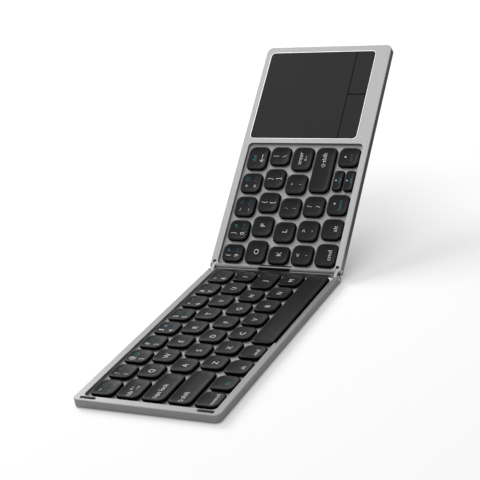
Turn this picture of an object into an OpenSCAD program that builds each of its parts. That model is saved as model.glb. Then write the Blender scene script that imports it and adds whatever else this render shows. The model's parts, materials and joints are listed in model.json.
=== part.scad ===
// Folding keyboard: two thin aluminium halves on a double-pivot hinge, with a key field on both
// halves and a touchpad on the right one. Millimetres. +X runs to the typist's right, +Y towards
// the number row, +Z up. The origin is on the surface it stands on, midway along its length.
//
// Each half is drawn in its own frame: u runs from its hinge pin to its outer end, v from the
// space bar side to the number row, z up from its underside. The left half is that frame mirrored.

/* [Halves] */
// Depth from the space bar side to the number row side
depth = 95; // [92:0.5:110]
// Length of the left half, from its hinge pin to its outer end
left_len = 173.2; // [172.6:0.1:190]
// Length of the right half, from its hinge pin to its outer end
right_len = 172.2; // [171.9:0.1:190]
// Thickness of each half
body_t = 5.2; // [5.1:0.1:6.5]
// Radius of the outer corners
end_r = 4; // [2.5:0.5:6]
// Chamfer along the outer edges
edge_c = 0.3; // [0.1:0.05:0.5]
// Thickness of the side walls below the rim
wall = 1.3; // [1:0.1:1.6]
// Thickness of the underside covers
cover_t = 0.7; // [0.5:0.05:0.8]
// Gap round a cover, a deck and a board where they drop into a frame
fit_gap = 0.12; // [0.05:0.01:0.2]
// Height of the rubber feet
foot_h = 0.5; // [0.3:0.1:1]

/* [Fold] */
// Angle of the right half above the left one's plane
fold = 39.5; // [0:0.5:44]
// Angle of the hinge link above the left half's plane
link_tilt = 28.5; // [0:0.5:30]
// Gap between the two rims when the keyboard is shut
shut_gap = 1.1; // [0.9:0.1:2]
// Radius of the hinge pins
pin_r = 1; // [0.6:0.1:1.2]
// Length of the hinge pins
pin_len = 9; // [7:0.5:12]
// Radial clearance of a pin in its link
pin_clear = 0.05; // [0.02:0.01:0.1]
// Radius of the ends of a hinge link
link_r = 2.3; // [2:0.1:2.4]
// Width of a hinge link along the pins
link_w = 1.9; // [1.5:0.1:2.4]
// Gap on each side of a hinge link
link_gap = 0.15; // [0.1:0.05:0.2]
// Width of the knuckle outside each hinge link
knuckle_w = 1.6; // [1.2:0.1:2]
// Thickness of the spine's web between the two halves
web_t = 0.5; // [0.4:0.05:0.6]
// Height of the spine's web above the pins
web_rise = 1; // [0.5:0.1:1.1]
// Gap between the spine's foot and the round edges of the halves
spine_gap = 0.25; // [0.2:0.05:0.4]
// Length of the black cable cover in the middle of the hinge
cable_cover_len = 22.6; // [16:0.2:30]
// Radius of the cable cover where it wraps the pins' axes
cable_cover_r = 1.3; // [1.1:0.1:1.4]
// Depth of the cable cover below the pins' axes
cable_cover_low = 1.75; // [1.6:0.05:1.8]
// Gap between the cable cover and the mouths that it passes through
cable_gap = 0.2; // [0.1:0.05:0.25]
// Thickness of the rim that crosses a cable mouth
lip_w = 0.7; // [0.6:0.05:0.8]
// Gap between the cable cover's trough and the rims above it
trough_gap = 0.25; // [0.2:0.05:0.3]
// Room beyond an end link in its notch
notch_room = 0.4; // [0.3:0.05:0.6]

/* [Key field] */
// Number of plain keys that would fill a row of the left half
left_units = 9.2; // [9.1:0.05:9.3]
// Number of plain keys that would fill a row of the right half
right_units = 5.025; // [5:0.025:5.05]
// Gap between neighbouring keys in a row
key_gap = 2.4; // [1.8:0.1:3]
// Gap between two rows of keys
row_gap = 1.43; // [1.2:0.01:1.8]
// Gap between the number row and the back wall of the wells
back_room = 2.15; // [1.8:0.05:2.5]
// Gap between the bottom row and the front wall of the wells
front_room = 0.33; // [0.3:0.01:0.6]
// Room beyond the last key's cell in the left well
left_room = 0.9; // [0.5:0.1:1.2]
// Room beyond the last key's cell in the right well
right_room = 1.9; // [1.5:0.1:2.2]
// Height of a keycap
cap_h = 1.6; // [1.4:0.1:1.8]
// Height of a keycap's top above the rim
cap_rise = 0.4; // [0.2:0.05:0.4]
// Travel of a key
travel = 1; // [0.6:0.1:1]
// Gap left under a key or a touchpad button that is pressed
press_gap = 0.1; // [0.05:0.01:0.15]
// Radius of a keycap's corners
cap_r = 4.2; // [3:0.1:4.8]
// Radius of the corners of the half-height arrow keys
half_cap_r = 2.7; // [2:0.1:3.2]
// Width of the soft edge round a keycap's top
cap_edge = 0.5; // [0.3:0.05:0.7]
// Flat lip between a keycap's soft edge and its dish
dish_lip = 0.3; // [0.2:0.05:0.5]
// Depth of the dish in a keycap's top
dish_depth = 0.3; // [0.1:0.05:0.4]
// Thickness of a keycap's side wall
cap_wall = 1.2; // [0.8:0.1:1.6]
// Depth of the hollow under a keycap
cap_hollow = 0.5; // [0.3:0.1:0.7]
// Radius of a key's guide stem
stem_r = 1.5; // [1:0.1:1.8]
// Radial clearance of a guide stem in the deck
stem_clear = 0.15; // [0.1:0.05:0.3]
// Gap between the up and the down arrow keys
half_key_gap = 0.8; // [0.5:0.1:1.2]

/* [Wells] */
// Depth of the key wells below the rim
well_depth = 2.2; // [2.2:0.05:2.4]
// Rim behind the key wells
back_rim = 4.9; // [4.5:0.1:5.5]
// Rim in front of the key wells
front_rim = 4.4; // [4.2:0.1:5]
// Corner radius of the key wells
well_r = 3; // [1.5:0.5:3.5]
// Distance of the well from the hinge pin, towards the hinge
well_lip = 0.3; // [0.1:0.05:0.4]
// Rim beyond the left key well
left_rim = 5; // [3.5:0.1:5.2]
// Outer end of the right key well
right_well_end = 93.4; // [92.6:0.1:94]
// Thickness of the deck plates under the keys
deck_t = 0.6; // [0.4:0.1:0.7]
// How far the right deck runs under the rim beyond its well
deck_lap = 1.5; // [1:0.1:2]
// Width of the thumb scoop in the rim along the space bar
scoop_w = 2.3; // [1.5:0.1:2.6]
// Depth of the thumb scoop at the well
scoop_depth = 1.1; // [0.5:0.1:1.5]
// Distance of the thumb scoop from the hinge pin
scoop_start = 4; // [3:0.5:6]
// Distance of the thumb scoop from the outer end of the space bar's cell
scoop_end = 3; // [2:0.5:5]
// Slant of the thumb scoop's ends
scoop_slant = 1.5; // [0.5:0.1:3]

/* [Touchpad] */
// Rim between the right key well and the touchpad
mid_rim = 3.7; // [3.3:0.1:4.5]
// Rim beyond the touchpad
end_rim = 4.7; // [4.5:0.1:5.5]
// Rim behind the touchpad
pad_back_rim = 4.2; // [4:0.1:5]
// Rim in front of the touchpad
pad_front_rim = 10.7; // [9.5:0.1:12]
// Depth of the touchpad's buttons from front to back
button_d = 13.8; // [12:0.1:16]
// Corner radius of the touchpad
pad_r = 3; // [1.5:0.5:4]
// Depth of the touchpad's face below the rim
pad_sunk = 0.3; // [0.1:0.05:0.4]
// Thickness of the touchpad's glass
glass_t = 1; // [0.8:0.05:1.1]
// Travel of a touchpad button
button_travel = 0.3; // [0.2:0.05:0.4]
// Gap round the glass and the buttons
pad_gap = 0.15; // [0.1:0.05:0.2]
// Bright chamfer round the touchpad's window
pad_chamfer = 0.5; // [0.2:0.05:0.6]
// Thickness of the touchpad's board
pad_board_t = 0.6; // [0.4:0.1:0.8]
// Width of the ledge that carries the touchpad's board
pad_ledge = 1.5; // [1:0.1:2]
// Thickness of the ledge that carries the touchpad's board
pad_ledge_t = 0.7; // [0.5:0.1:0.9]

/* [Inside and underside] */
// Thickness of the switch boards
board_t = 0.6; // [0.4:0.05:0.65]
// Inset of a switch board from the outer faces
board_inset = 5; // [4.8:0.1:6]
// Radius of a switch board's corners
board_r = 1; // [0.5:0.1:2]
// Length of the battery
battery_len = 55; // [40:1:60]
// Width of the battery
battery_w = 42; // [30:1:50]
// Thickness of the battery
battery_t = 1.7; // [1.2:0.1:1.8]
// Radius of the battery's corners
battery_r = 1.5; // [1:0.1:3]
// Width of the charging port's shell
port_w = 8.94; // [8.8:0.02:9]
// Height of the charging port's shell
port_h = 3.16; // [3.1:0.02:3.16]
// Length of the charging port's shell
port_len = 7.2; // [6:0.1:8]
// Thickness of the charging port's shell
port_wall = 0.3; // [0.2:0.05:0.4]
// Thickness of the charging port's tongue
tongue_t = 0.7; // [0.6:0.05:0.8]
// Gap between the tongue and each end of the shell
tongue_gap = 1.1; // [1:0.05:1.2]
// Distance of the tongue's tip from the charging port's mouth
tongue_back = 0.8; // [0.6:0.1:1.2]
// Distance of the charging port from the right half's outer end
port_from_end = 22; // [16:0.5:40]
// Depth of the charging port's mouth below the back face
port_sunk = 0.3; // [0.2:0.05:0.5]
// Radius of a cover screw's thread
screw_r = 0.6; // [0.5:0.05:0.7]
// Radius of a cover screw's head
screw_head_r = 1.1; // [1:0.05:1.2]
// Height of a cover screw's head
screw_head_h = 0.4; // [0.3:0.05:0.45]
// Radius of the bosses that take the cover screws
boss_r = 1.5; // [1.4:0.1:1.6]
// Distance of the end screws from the hinge pin and from the outer end
screw_inset = 14; // [10:0.5:18]
// Width of a rubber foot along u
foot_w = 5; // [4:0.5:6]
// Length of a rubber foot along v
foot_len = 16; // [8:1:20]
// Chamfer of a foot's edge
foot_c = 0.1; // [0.05:0.05:0.2]
// Distance of a foot's middle from the side
foot_from_side = 14.5; // [14:0.5:20]
// Distance of the near feet from the hinge pin
foot_from_pin = 3; // [3:0.5:8]
// Distance of the far feet from the outer end
foot_from_end = 9; // [6:0.5:15]
// Length of a rubber bumper in the left rim
bumper_len = 10.4; // [8:0.1:12]
// Width of a rubber bumper
bumper_w = 2.1; // [1.5:0.1:2.4]
// Height of a rubber bumper above the rim
bumper_rise = 0.4; // [0.2:0.1:0.7]
// Depth of a bumper's pocket
bumper_pocket = 0.9; // [0.6:0.1:1.2]
// Distance of a bumper's middle from the side
bumper_from_side = 9.5; // [9.5:0.5:12]
// Gap between a bumper and the left key well
bumper_from_well = 0.85; // [0.4:0.05:1]
// Radius of a bumper's corners
bumper_r = 0.6; // [0.3:0.1:0.9]
// Gap round a bumper in its pocket
bumper_gap = 0.03; // [0.02:0.01:0.06]

/* [Hidden] */

$fn = 48;
EPS = 0.01;
PART = 200; // Longer than any piece, for cuts that pass right through

// A worked-out size, to a hundredth of a millimetre
function snap(size) = round(size * 100) / 100;

half_v = depth / 2;
barrel_r = body_t / 2;
pin_gap = body_t + shut_gap;
well_z = body_t - well_depth;
deck_z = well_z - deck_t;
cavity_start = 1.5;
cover_start = cavity_start + fit_gap;

// The hinge, from the outer face of a half inwards
notch_out = half_v - knuckle_w;
notch_w = link_w + 2 * link_gap;
notch_in = notch_out - notch_w;
link_out = notch_out - link_gap;
link_in = link_out - link_w;
notch_reach = link_r + notch_room;
boss_root = 0.2; // How far a screw boss runs into the side wall
mouth_w = cable_cover_len + 3 * cable_gap;
mouth_r = cable_cover_r + cable_gap;
mouth_low = cable_cover_low + cable_gap;
lip_end = well_lip + lip_w;

// Where the halves stand
right_pin_x = pin_gap * cos(link_tilt);
right_reach = right_pin_x + right_len * cos(fold) + (barrel_r - edge_c) * sin(fold);
pin_x = (left_len - right_reach) / 2;
pin_z = foot_h + barrel_r;

// Wells and keys
well_back = half_v - back_rim;
well_front = half_v - front_rim;
keys_start = well_lip;
left_keys_end = left_len - left_rim - left_room;
right_keys_end = right_well_end - right_room;
left_pitch = snap((left_keys_end - keys_start) / left_units);
right_pitch = snap((right_keys_end - keys_start) / right_units);
pitch_v = snap((well_back + well_front - back_room - front_room + row_gap) / 5);
key_d = pitch_v - row_gap;
first_row_v = well_back - back_room - key_d / 2;
half_key_d = snap((key_d - half_key_gap) / 2);
cap_z = body_t + cap_rise - cap_h;
stem_z = cover_t + board_t + press_gap + travel;
stem_root = 0.1; // How far a guide stem runs into its cap

// Row by row from the number row: the width of the key nearest the hinge, in plain keys, and the
// number of plain keys after it. The outermost key takes what is left of the row.
LEFT_ROWS = [[1.1, 7], [0.9, 7], [1.38, 6], [1.04, 6], [5.185, 3]];
RIGHT_ROWS = [[0.88, 3], [1.08, 3], [0.87, 3], [0.965, 2], [1.065, 3]];
LONG_KEY = 60; // A longer key has three guide stems
WIDE_KEY = 1.6; // A key that is this many times as long as it is deep has two
ARROW_ROW = 4;
ARROW_PLACE = 3; // Where the up and down arrows stand in that row of the right half

// Touchpad and charging port
pad_start = right_well_end + mid_rim;
pad_end = right_len - end_rim;
pad_mid = (pad_start + pad_end) / 2;
pad_back = half_v - pad_back_rim;
pad_front = half_v - pad_front_rim;
pad_split = pad_front - button_d;
pad_z = body_t - pad_sunk;
pad_board_z = pad_z - glass_t - pad_board_t;
button_t = glass_t - button_travel - press_gap;
ledge_root = 0.6; // How far the touchpad's ledge runs into the frame
port_gap = 0.05; // Between the port's shell and the frame
port_u = right_len - port_from_end;
port_v = half_v - port_sunk;

alloy = "silver";
dark_alloy = "dimgray";
black = [0.12, 0.12, 0.13];
board_green = [0.1, 0.3, 0.2];
rubber_black = [0.08, 0.08, 0.08];

// ---- Shared shapes ----

// A block with rounded corners in plan. profile lists [how far outwards, height] from the bottom
// up, so it sets chamfers and flares.
module block(u0, u1, v0, v1, r, profile) {
    low = profile[0][1];
    high = profile[len(profile) - 1][1];
    section = concat([[0, low]], [for (p = profile) [r + p[0], p[1]]], [[0, high]]);
    inner_u = u1 - u0 - 2 * r;
    inner_v = v1 - v0 - 2 * r;
    lap = r / 3; // How far the core runs into the edges round it
    translate([u0 + r - lap, v0 + r - lap, low])
        cube([inner_u + 2 * lap, inner_v + 2 * lap, high - low]);
    for (c = [[u1 - r, v1 - r, 0], [u0 + r, v1 - r, 90], [u0 + r, v0 + r, 180], [u1 - r, v0 + r, 270]])
        translate([c[0], c[1], 0]) rotate([0, 0, c[2]]) rotate_extrude(angle = 90) polygon(section);
    for (s = [[u1 - r, v1 - r, 0, inner_v], [u0 + r, v1 - r, 90, inner_u],
              [u0 + r, v0 + r, 180, inner_v], [u1 - r, v0 + r, 270, inner_u]])
        translate([s[0], s[1], 0]) rotate([0, 0, s[2]]) rotate([90, 0, 0])
            linear_extrude(s[3]) polygon(section);
}

function plain(z0, z1) = [[0, z0], [0, z1]];
function chamfered(z0, z1, c) = [[-c, z0], [0, z0 + c], [0, z1 - c], [-c, z1]];
function flared(z0, z1, c) = [[0, z0], [0, z1 - c], [c + EPS, z1 + EPS]];

// A cylinder along v
module rod(r, v0, v1) translate([0, v1, 0]) rotate([90, 0, 0]) cylinder(r = r, h = v1 - v0);

// A copy on each side of the middle of the depth
module both_sides() {
    children();
    mirror([0, 1, 0]) children();
}

module on_left() translate([pin_x, 0, foot_h]) mirror([1, 0, 0]) children();

module on_link() translate([pin_x, 0, pin_z]) rotate([0, -link_tilt, 0]) children();

module on_right()
    translate([pin_x + right_pin_x, 0, pin_z + pin_gap * sin(link_tilt)])
        rotate([0, -fold, 0]) translate([0, 0, -barrel_r]) children();

// ---- Casing ----

module cover_screw_places(length)
    for (u = [screw_inset, length / 2, length - screw_inset], side = [-1, 1])
        translate([u, side * (half_v - wall - boss_r + boss_root), 0]) children();

// The outside of a half: a slab with chamfered edges, rounded outer corners and a round hinge edge
module half_slab(length) {
    intersection() {
        block(-20, length, -half_v, half_v, end_r, chamfered(0, body_t, edge_c));
        translate([0, -PART / 2, -1]) cube([PART, PART, body_t + 2]);
    }
    translate([0, 0, barrel_r]) rod(barrel_r, -half_v, half_v);
}

// What the hinge takes out of a half
module hinge_cuts() {
    both_sides() {
        translate([-barrel_r - 1, notch_in, -1]) cube([barrel_r + 1 + notch_reach, notch_w, body_t + 2]);
        translate([0, 0, barrel_r]) rod(pin_r, half_v - pin_len, half_v + 1);
    }
    translate([-barrel_r - 1, -mouth_w / 2, -1]) cube([barrel_r + 1 - lip_end, mouth_w, body_t + 2]);
    translate([0, 0, barrel_r]) rod(mouth_r, -mouth_w / 2, mouth_w / 2);
    translate([-barrel_r, -mouth_w / 2, barrel_r - mouth_low])
        cube([barrel_r + cavity_start + EPS, mouth_w, mouth_low]);
    translate([0, -mouth_w / 2, barrel_r - EPS])
        cube([cavity_start + EPS, mouth_w, well_z - barrel_r + 2 * EPS]);
}

// A half's frame: rim, side walls, hinge knuckles and screw bosses. Children are its windows.
module frame(length) {
    difference() {
        half_slab(length);
        difference() {
            block(cavity_start, length - wall, -half_v + wall, half_v - wall, end_r - wall,
                  plain(-1, well_z));
            cover_screw_places(length) translate([0, 0, cover_t]) cylinder(r = boss_r, h = body_t);
        }
        cover_screw_places(length) cylinder(r = screw_r, h = well_z + 0.5);
        hinge_cuts();
        children();
    }
}

module well_window(length_end)
    block(-well_lip, length_end, -well_front, well_back, well_r, plain(well_z - EPS, body_t + 1));

module thumb_scoop() {
    space_end = keys_start + LEFT_ROWS[4][0] * left_pitch - scoop_end;
    intersection() {
        translate([0, -well_front, body_t]) rotate([90, 0, 90]) linear_extrude(PART)
            polygon([[-scoop_w, EPS], [EPS, EPS], [EPS, -scoop_depth], [0, -scoop_depth]]);
        translate([0, 0, body_t]) rotate([90, 0, 0]) linear_extrude(PART, center = true)
            polygon([[scoop_start, EPS], [space_end, EPS], [space_end - scoop_slant, -scoop_depth],
                     [scoop_start + scoop_slant, -scoop_depth]]);
    }
}

module bumper_blocks(low, high, gap)
    for (side = [-1, 1])
        translate([left_len - left_rim + bumper_from_well, side * (half_v - bumper_from_side), 0])
            block(-gap, bumper_w + gap, -bumper_len / 2 - gap, bumper_len / 2 + gap, bumper_r,
                  plain(low, high));

module left_frame() color(alloy) on_left()
    frame(left_len) {
        well_window(left_len - left_rim);
        thumb_scoop();
        bumper_blocks(body_t - bumper_pocket, body_t + 1, bumper_gap);
    }

module right_frame() color(alloy) on_right()
    difference() {
        union() {
            frame(right_len) {
                well_window(right_well_end);
                block(pad_start, pad_end, -pad_front, pad_back, pad_r,
                      flared(pad_board_z - 1, body_t, pad_chamfer));
            }
            difference() {
                block(pad_start - ledge_root, pad_end + ledge_root, -pad_front - ledge_root,
                      pad_back + ledge_root, pad_r, plain(pad_board_z - pad_ledge_t, pad_board_z));
                block(pad_start + pad_ledge, pad_end - pad_ledge, -pad_front + pad_ledge,
                      pad_back - pad_ledge, pad_r - 1, plain(0, body_t));
            }
        }
        port_space(port_gap, 1);
    }

// The room that the charging port takes in the frame and in the touchpad's board
module port_space(gap, ahead)
    translate([port_u, port_v + ahead, cover_t - gap]) rotate([90, 0, 0])
        linear_extrude(port_len + ahead + gap) port_outline(port_w + 2 * gap, port_h + 2 * gap);

// A flat tube's outline, standing on its lower edge
module port_outline(w, h) {
    r = h / 2 - EPS;
    translate([-w / 2 + r, 0]) square([w - 2 * r, h]);
    for (side = [-1, 1]) translate([side * (w / 2 - r), h / 2]) circle(r = h / 2);
}

module deck(length, well_end) difference() {
    block(cover_start, well_end, -half_v + wall + fit_gap, half_v - wall - fit_gap,
          end_r - wall - fit_gap, plain(deck_z, well_z));
    cover_screw_places(length) cylinder(r = boss_r + fit_gap, h = body_t);
    hinge_cuts();
    children();
}

module cover(length) difference() {
    block(cover_start, length - wall - fit_gap, -half_v + wall + fit_gap, half_v - wall - fit_gap,
          end_r - wall - fit_gap, plain(0, cover_t));
    cover_screw_places(length) {
        translate([0, 0, -1]) cylinder(r = screw_r + pin_clear, h = cover_t + 2);
        translate([0, 0, -1]) cylinder(r = screw_head_r + pin_clear, h = screw_head_h + 1);
    }
    hinge_cuts();
}

module cover_screws(length) cover_screw_places(length) {
    cylinder(r = screw_head_r, h = screw_head_h);
    cylinder(r = screw_r, h = well_z);
}

module board(u_end) block(board_inset, u_end, -half_v + board_inset, half_v - board_inset, board_r,
                          plain(cover_t, cover_t + board_t));

module feet(length)
    for (u = [foot_from_pin, length - foot_from_end - foot_w], side = [-1, 1])
        translate([u, side * (half_v - foot_from_side), 0])
            block(0, foot_w, -foot_len / 2, foot_len / 2, foot_w / 2 - EPS,
                  [[-foot_c, -foot_h], [0, foot_c - foot_h], [0, 0]]);

module pins() translate([0, 0, barrel_r]) both_sides() rod(pin_r, half_v - pin_len, half_v);

module left_deck() color("lightgray") on_left() deck(left_len, left_len - wall - fit_gap)
    stem_holes(LEFT_ROWS, left_keys_end, left_pitch);
module left_cover() color(alloy) on_left() cover(left_len);
module left_board() color(board_green) on_left() board(left_len - board_inset);
module left_feet() color(rubber_black) on_left() feet(left_len);
module left_bumpers() color(rubber_black) on_left()
    bumper_blocks(body_t - bumper_pocket, body_t + bumper_rise, 0);
module left_screws() color("gray") on_left() cover_screws(left_len);
module left_pins() color("white") on_left() pins();

module right_deck() color("lightgray") on_right() deck(right_len, right_well_end + deck_lap)
    stem_holes(RIGHT_ROWS, right_keys_end, right_pitch, true);
module right_cover() color(alloy) on_right() cover(right_len);
module right_board() color(board_green) on_right() board(right_well_end);
module right_feet() color(rubber_black) on_right() feet(right_len);
module right_screws() color("gray") on_right() cover_screws(right_len);
module right_pins() color("white") on_right() pins();

// ---- Hinge ----

// The bar between the halves: a thin web that shows between the rims, and a foot with hollow
// sides that closes the gap underneath
module spine() color(dark_alloy) on_link() difference() {
    translate([0, link_in, 0]) rotate([90, 0, 0]) linear_extrude(2 * link_in) {
        difference() {
            translate([0, -barrel_r + edge_c]) square([pin_gap, barrel_r - edge_c]);
            for (x = [0, pin_gap]) translate([x, 0]) circle(r = barrel_r + spine_gap);
        }
        translate([pin_gap / 2 - web_t / 2, -EPS]) square([web_t, web_rise + EPS]);
    }
    translate([0, -cable_cover_len / 2, -cable_cover_low])
        cube([pin_gap, cable_cover_len, cable_cover_low + body_t]);
}

module link_outline(r) {
    for (x = [0, pin_gap]) translate([x, 0]) circle(r = r);
    translate([0, -r]) square([pin_gap, 2 * r]);
}

module end_links() color(alloy) on_link() both_sides() difference() {
    translate([0, link_out, 0]) rotate([90, 0, 0]) linear_extrude(link_w) link_outline(link_r);
    for (x = [0, pin_gap]) translate([x, 0, 0]) rod(pin_r + pin_clear, link_in - 1, link_out + 1);
}

// The cable's sleeves round both pins' axes, and the trough that joins them below the rims that
// cross the mouths, with a web like the spine's
module cable_cover() color(black) on_link() {
    trough = lip_end + trough_gap;
    shoulder = 0.7 * cable_cover_r;
    middle = pin_gap / 2;
    for (x = [0, pin_gap])
        translate([x, 0, 0]) rod(cable_cover_r, -cable_cover_len / 2, cable_cover_len / 2);
    translate([0, cable_cover_len / 2, 0]) rotate([90, 0, 0]) linear_extrude(cable_cover_len)
        polygon([[0, -shoulder], [lip_end / 2, -shoulder], [trough, -trough],
                 [middle - web_t / 2, -trough], [middle - web_t / 2, web_rise],
                 [middle + web_t / 2, web_rise], [middle + web_t / 2, -trough],
                 [pin_gap - trough, -trough], [pin_gap - lip_end / 2, -shoulder],
                 [pin_gap, -shoulder], [pin_gap, -cable_cover_low], [0, -cable_cover_low]]);
}

// ---- Touchpad, battery and charging port ----

// The part of the touchpad's outline between two places, from one level to another
module pad_piece(u0, u1, v0, v1, z0, z1) intersection() {
    block(pad_start + pad_gap, pad_end - pad_gap, -pad_front + pad_gap, pad_back - pad_gap,
          pad_r - pad_gap, plain(z0, z1));
    translate([u0, v0, 0]) cube([u1 - u0, v1 - v0, body_t]);
}

module touchpad_glass() color(black) on_right()
    pad_piece(pad_start, pad_end, -pad_split + pad_gap / 2, pad_back, pad_z - glass_t, pad_z);

module button(u0, u1) color(black) on_right()
    pad_piece(u0, u1, -pad_front, -pad_split - pad_gap / 2, pad_z - button_t, pad_z);
module button_near() button(pad_start, pad_mid - pad_gap);
module button_far() button(pad_mid + pad_gap, pad_end);

module touchpad_board() color(board_green) on_right() difference() {
    pad_piece(pad_start, pad_end, -pad_front, pad_back, pad_board_z, pad_board_z + pad_board_t);
    port_space(fit_gap, 1);
}

module battery() color("gainsboro") on_right()
    block(pad_mid - battery_len / 2, pad_mid + battery_len / 2, -battery_w / 2, battery_w / 2, battery_r,
          plain(cover_t, cover_t + battery_t));

module charging_port() color("gray") on_right() translate([port_u, port_v, cover_t])
    rotate([90, 0, 0]) {
        linear_extrude(port_len) difference() {
            port_outline(port_w, port_h);
            translate([0, port_wall]) port_outline(port_w - 2 * port_wall, port_h - 2 * port_wall);
        }
        translate([0, 0, port_len - port_wall]) linear_extrude(port_wall)
            port_outline(port_w, port_h);
        translate([-port_w / 2 + tongue_gap, (port_h - tongue_t) / 2, tongue_back])
            cube([port_w - 2 * tongue_gap, tongue_t, port_len - tongue_back]);
    }

// ---- Keys ----

function row_v(row) = first_row_v - row * pitch_v;

// The edges of a row's cells, from the hinge outwards
function cell_edges(row, end, pitch) =
    [for (i = [0 : row[1] + 2]) i == 0 ? keys_start
        : i == row[1] + 2 ? end
        : snap(keys_start + (row[0] + i - 1) * pitch)];

// Where a key of a given length has its guide stems, from its middle
function stem_spots(length) = length > LONG_KEY ? [-0.4 * length, 0, 0.4 * length]
    : length > WIDE_KEY * key_d ? [-0.3 * length, 0.3 * length] : [0];

module stem_holes(rows, end, pitch, split_arrow = false)
    for (r = [0 : len(rows) - 1]) {
        e = cell_edges(rows[r], end, pitch);
        for (i = [0 : len(e) - 2]) {
            middle = (e[i] + e[i + 1]) / 2;
            shift = split_arrow && r == ARROW_ROW && i == ARROW_PLACE ? (half_key_d + half_key_gap) / 2 : 0;
            for (s = stem_spots(e[i + 1] - e[i] - key_gap), side = shift > 0 ? [-1, 1] : [0])
                translate([middle + s, row_v(r) + side * shift, 0])
                    cylinder(r = stem_r + stem_clear, h = body_t);
        }
    }

// The tool that dishes a key's top: a sphere, or a trough along u on a long key
module dish(length, width) {
    reach = min(length, width) / 2 - cap_edge - dish_lip;
    r = (reach * reach + dish_depth * dish_depth) / (2 * dish_depth);
    trough = length - 2 * (cap_edge + dish_lip);
    translate([0, 0, body_t + cap_rise + r - dish_depth]) {
        if (length - width > 2) rotate([0, 90, 0]) cylinder(r = r, h = trough, center = true, $fn = 180);
        else sphere(r = r, $fn = 120);
    }
}

// A keycap with a soft top edge, a dished top, a hollow underside and its guide stems
module keycap(u0, u1, v0, v1, r) {
    top = body_t + cap_rise;
    bevel = cap_edge * (1 - cos(45));
    length = u1 - u0;
    difference() {
        block(u0, u1, v0, v1, r, [[0, cap_z], [0, top - cap_edge], [-bevel, top - bevel],
                                  [-cap_edge, top]]);
        translate([(u0 + u1) / 2, (v0 + v1) / 2, 0]) dish(length, v1 - v0);
        block(u0 + cap_wall, u1 - cap_wall, v0 + cap_wall, v1 - cap_wall, r - cap_wall,
              plain(cap_z - 1, cap_z + cap_hollow));
    }
    for (s = stem_spots(length))
        translate([(u0 + u1) / 2 + s, (v0 + v1) / 2, stem_z])
            cylinder(r = stem_r, h = cap_z + cap_hollow + stem_root - stem_z);
}

module row_key(rows, end, pitch, row, i) {
    e = cell_edges(rows[row], end, pitch);
    keycap(e[i] + key_gap / 2, e[i + 1] - key_gap / 2, row_v(row) - key_d / 2,
           row_v(row) + key_d / 2, cap_r);
}

module left_keys(row, first, last) color(black) on_left()
    for (i = [first : last]) row_key(LEFT_ROWS, left_keys_end, left_pitch, row, i);

module right_key(row, i) color(black) on_right()
    row_key(RIGHT_ROWS, right_keys_end, right_pitch, row, i);

// One of the two half-height arrow keys; side is 1 for up and -1 for down
module half_arrow(side) color(black) on_right() {
    e = cell_edges(RIGHT_ROWS[ARROW_ROW], right_keys_end, right_pitch);
    v = row_v(ARROW_ROW) + side * (half_key_d + half_key_gap) / 2;
    keycap(e[ARROW_PLACE] + key_gap / 2, e[ARROW_PLACE + 1] - key_gap / 2, v - half_key_d / 2,
           v + half_key_d / 2, half_cap_r);
}

module key_grave() left_keys(0, 8, 8);
module keys_digits() left_keys(0, 0, 7);
module key_tab() left_keys(1, 8, 8);
module keys_upper_letters() left_keys(1, 0, 7);
module key_caps() left_keys(2, 7, 7);
module keys_home_letters() left_keys(2, 0, 6);
module key_shift_left() left_keys(3, 7, 7);
module keys_lower_letters() left_keys(3, 0, 6);
module key_space() left_keys(4, 0, 0);
module keys_modifiers() left_keys(4, 1, 4);

module key_9() right_key(0, 0);
module key_0() right_key(0, 1);
module key_minus() right_key(0, 2);
module key_equals() right_key(0, 3);
module key_delete() right_key(0, 4);
module key_o() right_key(1, 0);
module key_p() right_key(1, 1);
module key_bracket_open() right_key(1, 2);
module key_bracket_shut() right_key(1, 3);
module key_backslash() right_key(1, 4);
module key_k() right_key(2, 0);
module key_l() right_key(2, 1);
module key_semicolon() right_key(2, 2);
module key_quote() right_key(2, 3);
module key_enter() right_key(2, 4);
module key_comma() right_key(3, 0);
module key_period() right_key(3, 1);
module key_slash() right_key(3, 2);
module key_shift_right() right_key(3, 3);
module key_command() right_key(4, 0);
module key_alt() right_key(4, 1);
module key_arrow_left() right_key(4, 2);
module key_arrow_up() half_arrow(1);
module key_arrow_down() half_arrow(-1);
module key_arrow_right() right_key(4, 4);

left_frame();
left_deck();
left_cover();
left_board();
left_feet();
left_bumpers();
left_screws();
left_pins();
spine();
end_links();
cable_cover();
right_frame();
right_deck();
right_cover();
right_board();
right_feet();
right_screws();
right_pins();
touchpad_glass();
touchpad_board();
battery();
charging_port();
button_near();
button_far();
key_grave();
keys_digits();
key_tab();
keys_upper_letters();
key_caps();
keys_home_letters();
key_shift_left();
keys_lower_letters();
key_space();
keys_modifiers();
key_9();
key_0();
key_minus();
key_equals();
key_delete();
key_o();
key_p();
key_bracket_open();
key_bracket_shut();
key_backslash();
key_k();
key_l();
key_semicolon();
key_quote();
key_enter();
key_comma();
key_period();
key_slash();
key_shift_right();
key_command();
key_alt();
key_arrow_left();
key_arrow_up();
key_arrow_down();
key_arrow_right();
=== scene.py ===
"""Folding keyboard: keycaps, legends, metalwork and a studio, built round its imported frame."""

import json
import math

import bpy
import numpy as np
from bpy.props import FloatProperty, FloatVectorProperty, PointerProperty
from mathutils import Matrix, Vector


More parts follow.
